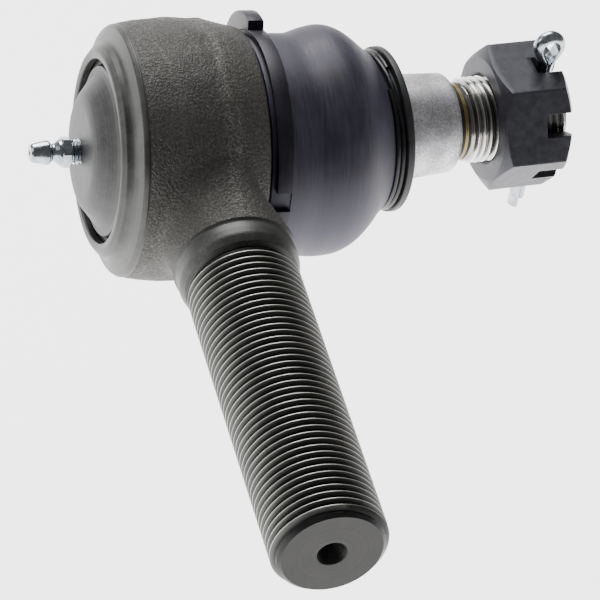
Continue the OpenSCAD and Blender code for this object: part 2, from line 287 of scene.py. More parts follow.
@dataclass(frozen=True)
class Thread:
    """A 60 degree screw thread with rounded roots and flat crests."""

    major_r: float
    pitch: float
    left_hand: bool = False

    HEIGHT_SHARE = 0.6134
    # Share of the pitch and share of the ridge's height, point by point.
    SHAPE = np.array([
        (0.0, 0.0), (0.115, 0.02), (0.15, 0.12), (0.42, 0.92), (0.455, 1.0),
        (0.545, 1.0), (0.58, 0.92), (0.85, 0.12), (0.885, 0.02), (1.0, 0.0)])

    @property
    def depth(self) -> float:
        """Height of the ridge, a fixed share of the pitch."""
        return self.HEIGHT_SHARE * self.pitch

    @property
    def root_r(self) -> float:
        """Radius at the bottom of the groove."""
        return self.major_r - self.depth

    def strip(self, start: float, end: float, start_r: float, end_r: float, chamfer: float,
              segments: int) -> Array:
        """The ridge as a strip wound along its own helix, held between two flat ends.

        Column k stands at the angle k / segments of a turn and one pitch further on for each
        turn; past either end the points fall onto that end's circle, where they merge.

        Args:
            start: distance where the thread starts.
            end: distance where it ends.
            start_r: radius of the circle at the start, no more than root_r.
            end_r: radius of the circle at the end, no more than root_r.
            chamfer: length over which the ridge runs down to each end's circle.
            segments: columns for each turn.

        Returns:
            (columns, ridge points, 3) grid.
        """
        turns = math.ceil((end - start) / self.pitch) + 1
        k = np.arange(turns * segments + 1)[:, None]
        u = start + self.pitch * (k / segments - 1 + self.SHAPE[:, 0])
        limit = np.interp(u, [start, start + chamfer, end - chamfer, end],
                          [start_r, self.major_r, self.major_r, end_r])
        r = np.minimum(self.root_r + self.depth * self.SHAPE[:, 1] + 0 * u, limit)
        u = np.clip(u, start, end)
        return around(u, r, TAU * k / segments * (-1 if self.left_hand else 1))

    def worn(self, points: Array, start: float, end: float, low: float, high: float) -> Array:
        """Wear and painted highlight of the crests: 0 below the share low of the ridge's height, 1
        above high.

        Args:
            points: local points of the piece that has the thread.
            start: distance where the wear starts.
            end: distance where it ends.
            low: share of the height where it begins.
            high: share where it is full.

        Returns:
            A number from 0 to 1 for each point.
        """
        height = (np.hypot(points[:, 1], points[:, 2]) - self.root_r) / self.depth
        inside = (points[:, 0] > start) & (points[:, 0] < end)
        return np.where(inside, np.interp(height, [low, high], [0, 1]), 0)


# ---- Meshes ---------------------------------------------------------------------------------


def grid_faces(grid: Array, wrap: bool) -> Array:
    """Quads between neighbouring points of a grid.

    Args:
        grid: (rows, columns, 3) grid.
        wrap: whether the last column joins the first.

    Returns:
        (n, 4) point numbers.
    """
    rows, cols = grid.shape[:2]
    i, j = np.meshgrid(np.arange(rows - 1), np.arange(cols if wrap else cols - 1), indexing="ij")
    k = (j + 1) % cols
    return np.stack([i * cols + j, i * cols + k, (i + 1) * cols + k, (i + 1) * cols + j],
                    axis=-1).reshape(-1, 4)


@dataclass
class Patch:
    """A grid of points in an axis's local coordinates."""

    grid: Array
    wrap: bool = True


Zone = Callable[[Array], Array]


class Piece:
    """A mesh object made of patches whose meeting points are merged."""

    def __init__(self, name: str, patches: Sequence[Patch], axis: Axis = SOCKET_AXIS,
                 sharp_deg: float = 38.0) -> None:
        """Builds the mesh.

        Args:
            name: the piece's name.
            patches: its surfaces, in the axis's local coordinates.
            axis: the axis they are drawn about.
            sharp_deg: edges that turn by more than this stay crisp.
        """
        self.axis = axis
        points, faces, first = [], [], 0
        for patch in patches:
            points.append(patch.grid.reshape(-1, 3))
            faces.append(grid_faces(patch.grid, patch.wrap) + first)
            first += len(points[-1])
        mesh = bpy.data.meshes.new(name)
        mesh.from_pydata(axis.place(np.concatenate(points)) * MM, [], np.concatenate(faces))
        self.object = bpy.data.objects.new(name, mesh)
        bpy.context.scene.collection.objects.link(self.object)
        self.tidy(math.radians(sharp_deg))

    def tidy(self, sharp: float) -> None:
        """Merges doubles, drops empty faces, turns the faces outwards and shades smooth.

        Args:
            sharp: angle in radians above which an edge stays crisp.
        """
        mesh = self.object.data
        work = bmesh.new()
        work.from_mesh(mesh)
        bmesh.ops.remove_doubles(work, verts=work.verts, dist=MERGE)
        bmesh.ops.dissolve_degenerate(work, dist=MERGE, edges=work.edges)
        bmesh.ops.recalc_face_normals(work, faces=work.faces)
        work.to_mesh(mesh)
        work.free()
        mesh.shade_smooth()
        mesh.set_sharp_from_angle(angle=sharp)

    def local_points(self) -> Array:
        """The mesh's points in the axis's local coordinates, in millimetres."""
        mesh = self.object.data
        flat = np.empty(len(mesh.vertices) * 3)
        mesh.vertices.foreach_get("co", flat)
        return self.axis.local(flat.reshape(-1, 3) / MM)

    def mark(self, name: str, values: Array) -> None:
        """Stores one number for each point, for a finish to read.

        Args:
            name: the attribute's name.
            values: the numbers.
        """
        attribute = self.object.data.attributes.new(name, "FLOAT", "POINT")
        attribute.data.foreach_set("value", np.asarray(values, dtype=np.float32))

    def dress(self, finishes: Sequence[bpy.types.Material], zone: Optional[Zone] = None) -> None:
        """Gives the piece its finishes.

        Args:
            finishes: the materials.
            zone: finds each face's finish from its centre in local coordinates.
        """
        mesh = self.object.data
        for finish in finishes:
            mesh.materials.append(finish)
        if zone is not None:
            flat = np.empty(len(mesh.polygons) * 3)
            mesh.polygons.foreach_get("center", flat)
            centres = self.axis.local(flat.reshape(-1, 3) / MM)
            mesh.polygons.foreach_set("material_index", zone(centres).astype(np.int32))
        mesh.update()

    def ride(self, body: str, slot: str, *replaced: str) -> "Piece":
        """Fixes the piece to a body and hides the CAD nodes that it stands for.

        Args:
            body: the body's name.
            slot: the record's material slot.
            replaced: CAD nodes that the piece stands for.

        Returns:
            The piece.
        """
        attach(self.object, body)
        self.stand_for(slot, *replaced)
        return self

    def stand_for(self, slot: str, *replaced: str) -> None:
        """Hides the CAD nodes that the piece replaces and logs its face count.

        Args:
            slot: the record's material slot; not used.
            replaced: the CAD nodes.
        """
        if replaced:
            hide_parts(*replaced)
        log.info("%s: %d faces", self.object.name, len(self.object.data.polygons))


# ---- Finishes -------------------------------------------------------------------------------


Value = Union["Wire", float]
Tone = tuple[float, float, float, float]


def tone(red: int, green: int, blue: int) -> Tone:
    """Linear colour from the usual 0 to 255 display values."""
    share = [c / 255 for c in (red, green, blue)]
    r, g, b = (c / 12.92 if c <= 0.04045 else ((c + 0.055) / 1.055) ** 2.4 for c in share)
    return r, g, b, 1.0


class Wire:
    """An output socket whose operators add Math nodes."""

    def __init__(self, shader: "Shader", socket: bpy.types.NodeSocket) -> None:
        """Wraps one socket of a shader."""
        self.shader = shader
        self.socket = socket

    def math(self, operation: str, *values: Value) -> "Wire":
        """Adds a Math node on the values."""
        return self.shader.node("ShaderNodeMath", {"operation": operation},
                                dict(enumerate(values)))

    def of(self, operation: str) -> "Wire":
        """A Math node on this value alone."""
        return self.math(operation, self)

    def __add__(self, other: Value) -> "Wire":
        """Sum."""
        return self.math("ADD", self, other)

    def __sub__(self, other: Value) -> "Wire":
        """Difference."""
        return self.math("SUBTRACT", self, other)

    def __rsub__(self, other: Value) -> "Wire":
        """Difference with the number first."""
        return self.math("SUBTRACT", other, self)

    def __mul__(self, other: Value) -> "Wire":
        """Product."""
        return self.math("MULTIPLY", self, other)

    __radd__ = __add__
    __rmul__ = __mul__

    def __abs__(self) -> "Wire":
        """Size without sign."""
        return self.math("ABSOLUTE", self)

    def ramp(self, low: float, high: float, to_low: float = 0.0, to_high: float = 1.0) -> "Wire":
        """Smooth step from to_low at low to to_high at high.

        Args:
            low: where the step starts.
            high: where it ends.
            to_low: value before it.
            to_high: value after it.

        Returns:
            The stepped value.
        """
        return self.shader.node(
            "ShaderNodeMapRange", {"interpolation_type": "SMOOTHSTEP"},
            {0: self, 1: low, 2: high, 3: to_low, 4: to_high})


class Shader:
    """A material's node tree under construction."""

    def __init__(self, name: str) -> None:
        """Starts an empty material of that name."""
        self.material = bpy.data.materials.new(name)
        self.material.use_nodes = True
        self.tree = self.material.node_tree
        self.tree.nodes.clear()

    def node(self, kind: str, settings: dict, inputs: dict, output: Union[int, str] = 0) -> Wire:
        """Adds a node.

        Args:
            kind: the node's type.
            settings: properties that are set first.
            inputs: a value or wire for each input, by number or name.
            output: the output that is wanted.

        Returns:
            That output.
        """
        made = self.tree.nodes.new(kind)
        for key, value in settings.items():
            setattr(made, key, value)
        for key, value in inputs.items():
            if isinstance(value, Wire):
                self.tree.links.new(value.socket, made.inputs[key])
            else:
                made.inputs[key].default_value = value
        return Wire(self, made.outputs[output])

    def place(self, axis: Axis) -> Wire:
        """Object coordinates in millimetres, turned to an axis's local ones."""
        spot = self.node("ShaderNodeTexCoord", {}, {}, "Object")
        parts = [self.node("ShaderNodeVectorMath", {"operation": "DOT_PRODUCT"},
                           {0: spot, 1: tuple(column / MM)}, "Value")
                 for column in axis.matrix().T]
        return self.node("ShaderNodeCombineXYZ", {}, dict(enumerate(parts)))

    def parts(self, vector: Wire) -> tuple[Wire, Wire, Wire]:
        """The three numbers of a vector."""
        split = self.tree.nodes.new("ShaderNodeSeparateXYZ")
        self.tree.links.new(vector.socket, split.inputs[0])
        return tuple(Wire(self, o) for o in split.outputs)

    def noise(self, vector: Wire, size: float, detail: float = 2.0, rough: float = 0.5) -> Wire:
        """Noise of about 0 to 1 whose lumps are `size` across.

        Args:
            vector: where it is read, in millimetres.
            size: the lumps' size in millimetres.
            detail: how many finer layers are added.
            rough: how strong each finer layer is.

        Returns:
            The noise value.
        """
        return self.node("ShaderNodeTexNoise", {}, {
            "Vector": vector, "Scale": 1 / size, "Detail": detail, "Roughness": rough})

    def blend(self, share: Value, first: Union[Wire, Tone], second: Union[Wire, Tone]) -> Wire:
        """Colour between two others."""
        return self.node("ShaderNodeMix", {"data_type": "RGBA"}, {0: share, 6: first, 7: second}, 2)

    def finish(self, colour: Wire, rough: Value, metallic: float,
               height: Optional[Wire] = None) -> bpy.types.Material:
        """Joins everything to the surface.

        Args:
            colour: base colour.
            rough: roughness.
            metallic: share of metal.
            height: relief in millimetres, where there is any.

        Returns:
            The finished material.
        """
        inputs = {"Base Color": colour, "Roughness": rough, "Metallic": metallic}
        if height is not None:
            inputs["Normal"] = self.node("ShaderNodeBump", {},
                                         {"Height": height, "Distance": MM, "Strength": 1.0})
        surface = self.node("ShaderNodeBsdfPrincipled", {}, inputs)
        end = self.tree.nodes.new("ShaderNodeOutputMaterial")
        self.tree.links.new(surface.socket, end.inputs[0])
        return self.material


@dataclass(frozen=True)
class Forging:
    """Shot-blasted forged steel with a fine pebbled skin and a paler parting line."""

    low: Tone = tone(50, 49, 46)
    high: Tone = tone(86, 84, 80)
    line: Tone = tone(108, 106, 102)
    # Painted highlight: the pale tone of the glints, painted into the skin's colour.
    painted_glint: Tone = tone(190, 190, 184)
    pebble: float = 0.6
    relief: float = 0.12
    fine_relief: float = 0.03
    metallic: float = 0.25
    line_at: float = 0.5
    line_width: float = 3.4
    line_drift: float = 2.4

    def build(self) -> bpy.types.Material:
        """Pebbled relief; the tops are paler and a few of them get painted glints, pale highlight
        spots in the colour.
        """
        shader = Shader("forged_skin")
        spot = shader.place(SOCKET_AXIS)
        along = shader.parts(spot)[0]
        drift = shader.noise(spot, 9.0, 2.0)
        grain = shader.noise(spot, self.pebble, 1.5, 0.55)
        colour = shader.blend(grain.ramp(0.32, 0.72) * 0.62 + drift * 0.38, self.low, self.high)
        offset = abs(along + (drift - 0.5) * self.line_drift - self.line_at)
        band = offset.ramp(self.line_width * 0.4, self.line_width, 1.0, 0.0)
        colour = shader.blend(band * grain.ramp(0.35, 0.7) * 0.55, colour, self.line)
        # Painted glints: small pale highlight spots painted into the colour, more of them in
        # patches and on the parting line.
        painted_glint_spots = shader.noise(spot, 0.34, 0.0).ramp(0.70, 0.78)
        patches = shader.noise(spot, 14.0, 1.0).ramp(0.42, 0.66)
        colour = shader.blend(painted_glint_spots * (patches * 0.22 + band * 0.18 + 0.04), colour, self.painted_glint)
        fine = shader.noise(spot, 0.22, 1.0)
        height = grain.ramp(0.25, 0.8) * self.relief + fine * self.fine_relief
        return shader.finish(colour, grain.ramp(0.3, 0.8, 0.68, 0.52), self.metallic, height)


class Lay(Enum):
    """How turned lines lie on a surface."""

    RINGS = "rings round the axis, spaced along and across it"
    NONE = "no lines"


@dataclass(frozen=True)
class Metal:
    """A worked metal: two tones in patches, fine turned lines and a light grain."""

    name: str
    low: Tone
    high: Tone
    rough: tuple[float, float]
    metallic: float
    axis: Axis = SOCKET_AXIS
    patch: float = 6.0
    grain: float = 0.25
    relief: float = 0.01
    lay: Lay = Lay.NONE
    line_space: float = 0.3
    line_relief: float = 0.012
    # Tone of lightened edges: partly bare-metal wear, partly a painted highlight on the thread
    # crests.
    edge: Optional[Tone] = None

    def lines(self, shader: Shader, spot: Wire) -> Wire:
        """Noise read at (distance, radius), so that it is the same all the way round."""
        along, across, square = shader.parts(spot)
        radius = (across * across + square * square).of("SQRT")
        return shader.node("ShaderNodeTexNoise", {"noise_dimensions": "2D"}, {
            "Vector": shader.node("ShaderNodeCombineXYZ", {}, {0: along, 1: radius}),
            "Scale": 1 / self.line_space, "Detail": 3.0, "Roughness": 0.6})

    def build(self) -> bpy.types.Material:
        """Patches and lines set the tone and gloss; an `edge` attribute lightens the edges with
        wear and a painted highlight.
        """
        shader = Shader(self.name)
        spot = shader.place(self.axis)
        patches = shader.noise(spot, self.patch, 3.0, 0.6)
        grain = shader.noise(spot, self.grain, 2.0)
        height = grain * self.relief
        share = patches * 0.7 + grain * 0.3
        if self.lay is Lay.RINGS:
            rings = self.lines(shader, spot)
            height = height + rings * self.line_relief
            share = share * 0.6 + rings * 0.4
        colour = shader.blend(share.ramp(0.36, 0.64), self.low, self.high)
        if self.edge is not None:
            # Crest tone blended in where the edge attribute is high: partly wear, partly painted
            # highlight.
            worn = shader.node("ShaderNodeAttribute", {"attribute_name": "edge"}, {}, "Fac")
            colour = shader.blend(worn * patches.ramp(0.25, 0.6, 0.75, 1.0), colour, self.edge)
        return shader.finish(colour, share.ramp(0.3, 0.7, *self.rough), self.metallic, height)


@dataclass(frozen=True)
class TaperSteel:
    """Pale phosphated steel, speckled, with faint rust near the boot."""

    low: Tone = tone(156, 154, 158)
    high: Tone = tone(222, 220, 223)
    rust: Tone = tone(172, 128, 104)
    rust_from: float = 52.0
    rust_to: float = 59.0
    rust_share: float = 0.42
    metallic: float = 0.7
    relief: float = 0.05

    def build(self) -> bpy.types.Material:
        """Fine speckle over soft patches; rust shows through where a coarse field is high."""
        shader = Shader("taper_steel")
        spot = shader.place(STUD_AXIS)
        along = shader.parts(spot)[0]
        speckle = shader.noise(spot, 0.55, 3.0, 0.7)
        drift = shader.noise(spot, 5.0, 2.0)
        share = (speckle * 0.6 + drift * 0.4).ramp(0.36, 0.66)
        colour = shader.blend(share, self.low, self.high)
        worn = shader.noise(spot, 3.4, 1.0).ramp(0.54, 0.68)
        rust = along.ramp(self.rust_from, self.rust_to, self.rust_share, 0.0) * worn
        colour = shader.blend(rust, colour, self.rust)
        return shader.finish(colour, share.ramp(0.0, 1.0, 0.5, 0.38), self.metallic,
                             speckle * self.relief)


@dataclass(frozen=True)
class BootRubber:
    """Moulded rubber with a soft sheen and fine streaks round it."""

    low: Tone = tone(38, 35, 49)
    high: Tone = tone(62, 59, 79)
    slant: float = 1.4
    streak_relief: float = 0.035
    fine_relief: float = 0.006

    def build(self) -> bpy.types.Material:
        """Streaks are noise stretched round the axis and drawn on a slight slant."""
        shader = Shader("boot_rubber")
        spot = shader.place(STUD_AXIS)
        along, across, square = shader.parts(spot)
        turn = square.math("ARCTAN2", square, across)
        radius = (across * across + square * square).of("SQRT")
        lanes = shader.node("ShaderNodeCombineXYZ", {}, {
            0: along + turn * self.slant, 1: radius * 0.35, 2: turn.of("COSINE") * 3.0})
        streak = shader.node("ShaderNodeTexNoise", {}, {
            "Vector": lanes, "Scale": 1.5, "Detail": 4.0, "Roughness": 0.65})
        bloom = shader.noise(spot, 11.0, 2.0)
        share = (streak * 0.55 + bloom * 0.45).ramp(0.36, 0.66)
        colour = shader.blend(share, self.low, self.high)
        height = streak * self.streak_relief + shader.noise(spot, 0.5, 1.0) * self.fine_relief
        return shader.finish(colour, share.ramp(0.0, 1.0, 0.5, 0.6), 0.0, height)


@dataclass(frozen=True)
class Finishes:
    """Every finish of the part."""

    forged: Forging = Forging()
    taper: TaperSteel = TaperSteel()
    rubber: BootRubber = BootRubber()
    turned: Metal = Metal("turned_steel", tone(58, 58, 57), tone(84, 84, 82), (0.38, 0.52), 0.6,
                          lay=Lay.RINGS, line_space=0.35, line_relief=0.02, grain=0.3)
    plug: Metal = Metal("pressed_plug", tone(58, 58, 58), tone(78, 78, 78), (0.44, 0.56), 0.5,
                        patch=4.0, grain=0.5, relief=0.05, lay=Lay.RINGS, line_space=0.6)
    # edge: pale crest tone, partly bare-metal wear and partly a painted highlight.
    shank: Metal = Metal("shank_thread", tone(24, 24, 24), tone(42, 42, 41), (0.36, 0.5), 0.6,
                         axis=SHANK_AXIS, lay=Lay.RINGS, edge=tone(176, 176, 170), grain=0.3,
                         relief=0.03)
    shank_end: Metal = Metal("shank_end", tone(34, 34, 33), tone(54, 53, 51), (0.46, 0.6), 0.45,
                             axis=SHANK_AXIS, lay=Lay.RINGS, line_space=0.4, line_relief=0.03)
    zinc: Metal = Metal("zinc_plate", tone(150, 157, 163), tone(190, 196, 202), (0.16, 0.28), 1.0,
                        patch=2.0, relief=0.002)
    stain: Metal = Metal("stained_undercut", tone(112, 96, 58), tone(176, 158, 108), (0.3, 0.45),
                         0.7, axis=STUD_AXIS, lay=Lay.RINGS, line_space=0.5)
    groove: Metal = Metal("dark_undercut", tone(20, 14, 12), tone(40, 30, 25), (0.5, 0.65), 0.2,
                          axis=STUD_AXIS, patch=2.0)
    # edge: near-white crest tone, partly wear and partly a painted highlight.
    stud_thread: Metal = Metal("stud_thread", tone(128, 126, 122), tone(168, 166, 162),
                               (0.14, 0.26), 1.0, axis=STUD_AXIS, lay=Lay.RINGS,
                               edge=tone(238, 238, 236))
    black: Metal = Metal("black_oxide", tone(52, 52, 57), tone(64, 64, 71), (0.38, 0.5), 0.5,
                         axis=STUD_AXIS, patch=2.0, relief=0.012)
    band: Metal = Metal("band_steel", tone(24, 22, 32), tone(38, 35, 48), (0.4, 0.5), 0.35,
                        lay=Lay.RINGS, line_space=0.5)
    collar: Metal = Metal("collar_plastic", tone(26, 26, 29), tone(40, 40, 44), (0.44, 0.58), 0.0,
                          axis=STUD_AXIS, patch=4.0, relief=0.012)
    ring: Metal = Metal("ring_wire", tone(22, 22, 25), tone(34, 34, 38), (0.3, 0.42), 0.3,
                        axis=STUD_AXIS, patch=3.0)
    bearing: Metal = Metal("greased_bearing", tone(120, 108, 84), tone(156, 142, 112), (0.3, 0.45),
                           0.3)
    spring: Metal = Metal("spring_steel", tone(80, 82, 88), tone(128, 130, 136), (0.25, 0.4), 0.9)


# ---- Sub-assemblies --------------------------------------------------------------------------


def hollow(outer: Array, inner: Array) -> Array:
    """Closed outline: out along the outside, back along the inside, to the first point."""
    return np.concatenate([outer, inner[::-1], outer[:1]])


def box_outline(width: float, height: float, fillet: float, steps: int = 4) -> Array:
    """Closed outline of a rectangle with rounded corners, quarter circles joined in turn.

    Args:
        width: size along the first axis.
        height: size along the second.
        fillet: radius of the corners.
        steps: points on each corner.

    Returns:
        (4 * steps, 2) points.
    """
    a = np.linspace(0, TAU / 4, steps)
    quarter = np.stack([np.cos(a), np.sin(a)], axis=1) * fillet
    middle = np.array([width / 2 - fillet, height / 2 - fillet])
    turn = np.array([[0, -1], [1, 0]])
    parts = []
    for sign in ((1, 1), (-1, 1), (-1, -1), (1, -1)):
        parts.append(quarter + middle * sign)
        quarter = quarter @ turn.T
    return np.concatenate(parts)


def block(centre: Sequence[float], size: Sequence[float], fillet: float) -> Patch:
    """A rounded box: a rounded rectangle carried along the first axis and drawn in at its ends.

    Args:
        centre: middle of the box.
        size: its three sizes.
        fillet: radius of its edges.

    Returns:
        The closed surface.
    """
    outline = box_outline(size[1], size[2], fillet)
    t = np.linspace(0, TAU / 4, 4)
    inset = np.concatenate([fillet * (1 - np.sin(t)), fillet * (1 - np.cos(t))])
    along = np.concatenate([-size[0] / 2 + fillet * (1 - np.cos(t)),
                            size[0] / 2 - fillet * (1 - np.sin(t))])
    half = np.array([size[1], size[2]]) / 2
    share = 1 - inset[:, None] / half
    rows = [np.concatenate([np.full((len(outline), 1), u), outline * s], axis=1)
            for u, s in zip(along, share)]
    ends = [np.repeat(np.array([[u, 0, 0]]), len(outline), axis=0) for u in along[[0, -1]]]
    return Patch(np.stack([ends[0]] + rows + [ends[1]]) + np.array(centre))


@dataclass(frozen=True)
class Socket:
    """Forged barrel, its crimped lip and the threaded shank."""

    columns: int = 192
    shank_columns: int = 120
    barrel_r: float = 33.2
    bulge: float = 58.0
    middle: float = -8.0
    face: float = 11.0
    skin_from: float = -20.6
    skin_to: float = 8.3
    skin_r: float = 28.0
    machined_from: float = 10.6
    lip_back: float = -24.45
    lip_r: float = 23.2
    plug_seat: float = -21.7
    plug_r: float = 25.2
    bore_r: float = 24.0
    throat: float = 10.0
    throat_r: float = 16.9
    neck_end: float = 16.2
    neck_r: float = 25.5
    lump: float = 0.13
    lump_size: float = 8.0
    fine_share: float = 0.4
    seeds: tuple[int, int] = (3, 5)
    ridge_at: float = 0.5
    ridge_w: float = 2.4
    ridge_h: float = 0.3
    root_back: float = 19.6
    root_front: float = 9.6
    root_side: float = 22.8
    root_rise: float = 7.0
    root_pull: float = 0.75
    root_sink: float = 0.97
    pole: float = 28.5
    collar_r: float = 15.7
    collar_start: float = 42.4
    collar_end: float = 49.4
    thread_start: float = 50.2
    foot_r: float = 12.9
    reach: float = 139.7
    chamfer: float = 2.1
    thread: Thread = Thread(14.2875, 25.4 / 12, left_hand=True)

    def barrel_radius(self, u: Array) -> Array:
        """Radius of the bulged side: a circle of radius `bulge` whose top is at `middle`."""
        return self.barrel_r - self.bulge + np.sqrt(self.bulge ** 2 - (u - self.middle) ** 2)

    def relief(self, row_points: Array) -> Array:
        """Height of the skin's lumps and parting ridge at points of the row frame."""
        along = (row_points[..., 0] - self.ridge_at) / self.ridge_w
        return (self.lump * ripple(row_points, self.lump_size, self.seeds[0])
                + self.fine_share * self.lump * ripple(row_points, self.lump_size / 3,
                                                       self.seeds[1])
                + self.ridge_h * np.exp(-4 * along ** 2))

    def barrel(self) -> Patch:
        """Closed shell: lip, cove, shoulder, bulged side, face, neck, throat and bore."""
        side = np.linspace(self.skin_from, self.skin_to, 72)
        lip = rounded([(self.lip_back, self.lip_r, 0), (-26.15, self.lip_r, 0.5),
                       (-26.5, 25.0, 1.2), (-25.3, 26.5, 1.0), (-23.5, 27.5, 2.2),
                       (-22.8, 29.6, 1.6), (-22.2, 31.2, 0.7), (-21.1, 31.9, 0.4),
                       (self.skin_from, 31.7, 0)], 7)
        neck = rounded([(self.skin_to, self.barrel_radius(np.array(self.skin_to)), 0),
                        (10.3, 30.2, 1.2), (self.face, 28.4, 1.0), (self.face, self.neck_r, 0.3),
                        (self.neck_end, self.neck_r, 0.6), (self.neck_end, 20.0, 0.4),
                        (self.throat, self.throat_r, 0.3), (self.throat, 18.9, 0.2),
                        (3.0, self.bore_r, 0.2), (self.plug_seat, self.bore_r, 0),
                        (self.plug_seat, self.plug_r, 0), (self.lip_back, self.plug_r, 0),
                        (self.lip_back, self.lip_r, 0)], 6)
        outline = np.concatenate([
            lip[:-1], np.stack([side, self.barrel_radius(side)], axis=1), neck[1:]])
        grid = lathe(refined(outline, 0.9), self.columns)
        u, r = grid[..., 0], np.hypot(grid[..., 1], grid[..., 2])
        skin = np.interp(u, [self.skin_from, self.skin_from + 1.5, 9.0, 10.8], [0, 1, 1, 0])
        grow = 1 + np.where(r > self.skin_r, skin, 0) * self.relief(SOCKET_AXIS.place(grid)) / r
        grid[..., 1:] *= grow[..., None]
        return Patch(grid)

    def landing(self, angle: Array) -> Array:
        """Where the root meets the barrel, for angles about the shank, in shank coordinates."""
        back = np.where(np.cos(angle) < 0, self.root_back, self.root_front)
        x, z = back * np.cos(angle), self.root_side * np.sin(angle)
        return np.stack([np.sqrt(self.barrel_radius(x) ** 2 - z ** 2), x, z], axis=-1)

    def root(self) -> Array:
        """Cubic Bezier from the landing to the collar for each column, closed inside the wall."""
        angle = np.arange(self.shank_columns) * -TAU / self.shank_columns
        land = self.landing(angle)
        inner = self.root_pull * land[:, 1:]
        inner = np.concatenate([np.sqrt(self.barrel_radius(inner[:, :1]) ** 2
                                        - inner[:, 1:] ** 2), inner], axis=1)
        ring = self.collar_r * np.stack([np.cos(angle), np.sin(angle)], axis=1)
        low = np.concatenate([np.full((len(ring), 1), self.collar_start), ring], axis=1)
        high = low - np.array([self.root_rise, 0, 0])
        t = np.linspace(0, 1, 30)[:, None, None]
        curve = ((1 - t) ** 3 * land + 3 * t * (1 - t) ** 2 * inner + 3 * t ** 2 * (1 - t) * high
                 + t ** 3 * low)
        towards = curve[..., 1:] / np.linalg.norm(curve[..., 1:], axis=-1, keepdims=True)
        fade = np.interp(t, [0, 0.06, 0.8, 1], [-0.6, 1, 1, 0])
        curve[..., 1:] += towards * self.relief(SHANK_AXIS.place(curve))[..., None] * fade
        middle = np.repeat(np.array([[self.pole, 0, 0]]), len(ring), axis=0)
        sunk = land * self.root_sink
        return np.concatenate([middle[None], (middle + sunk)[None] / 2, sunk[None], curve])

    def shank(self) -> list[Patch]:
        """Root, turned collar, thread and the end with its lathe centre."""
        collar = rounded([(self.collar_start, self.collar_r, 0), (43.2, 15.15, 1.5),
                          (45.2, 15.35, 3.0), (47.4, 15.2, 3.0), (self.collar_end, 14.3, 0.8),
                          (self.thread_start - 0.1, 13.2, 0.3),
                          (self.thread_start, self.foot_r, 0)], 7)
        end = rounded([(self.reach, self.thread.major_r - self.chamfer, 0), (self.reach, 10.6, 0),
                       (self.reach, 9.6, 0), (self.reach, 3.7, 0.25), (self.reach - 3.6, 1.6, 0.1),
                       (self.reach - 7, 1.6, 0), (self.reach - 7.6, 0, 0)], 5)
        grids = [lathe(refined(line, 1.2), self.shank_columns)[:, ::-1] for line in (collar, end)]
        grids = [np.roll(grid, 1, axis=1) for grid in grids]
        thread = self.thread.strip(
            self.thread_start, self.reach, self.foot_r, self.thread.major_r - self.chamfer,
            self.chamfer, self.shank_columns)
        return [Patch(self.root()), Patch(grids[0]), Patch(thread, False), Patch(grids[1])]

    def build(self, finishes: Finishes) -> None:
        """Builds and dresses the barrel and the shank."""
        skin, turned = finishes.forged.build(), finishes.turned.build()
        barrel = Piece("barrel", [self.barrel()], SOCKET_AXIS, 32)
        barrel.dress([skin, turned],
                     lambda c: (c[:, 0] < self.skin_from) | (c[:, 0] > self.machined_from))
        barrel.ride("socket", "forging", "housing")
        shank = Piece("shank", self.shank(), SHANK_AXIS, 32)
        # Crest mark for the wear and painted highlight on the shank's thread.
        shank.mark("edge", self.thread.worn(shank.local_points(), self.thread_start + 0.3,
                                            self.reach - 0.3, 0.9, 0.99))
        shank.dress([skin, finishes.shank.build(), turned, finishes.shank_end.build()],
                    lambda c: np.select([c[:, 0] < self.collar_start, c[:, 0] < self.thread_start,
                                         c[:, 0] < self.reach - 0.05], [0, 2, 1], 3))
        shank.ride("socket", "forging", "housing")


@dataclass(frozen=True)
class Plug:
    """Pressed end plug, seated under the crimped lip."""

    flat_u: float = -30.6
    flat_r: float = 9.0
    hole_r: float = 3.1
    wall: float = 2.8
    rim_end: float = -21.8
    columns: int = 144

    def build(self, finishes: Finishes) -> None:
        """A lathe: flat, rolled knuckle, step, sunk rim and a hollow back."""
        outer = rounded([(self.flat_u, self.hole_r, 0), (self.flat_u, self.flat_r, 0),
                         (self.flat_u + 0.2, 13.6, 9), (-25.8, 19.4, 2.0), (-25.3, 20.4, 0.5),
                         (-25.15, 21.4, 0.4), (-23.8, 21.9, 0.3), (-23.8, 24.9, 0.3),
                         (self.rim_end, 25.1, 0)], 12)
        inner = rounded([(self.flat_u + self.wall, self.hole_r, 0),
                         (self.flat_u + self.wall, self.flat_r, 6), (-24, 16.5, 2),
                         (self.rim_end, 17, 0)], 6)
        piece = Piece("end_cap", [Patch(lathe(refined(hollow(outer, inner), 0.9), self.columns))])
        piece.dress([finishes.plug.build()])
        piece.ride("socket", "plug_steel", "end_plug")


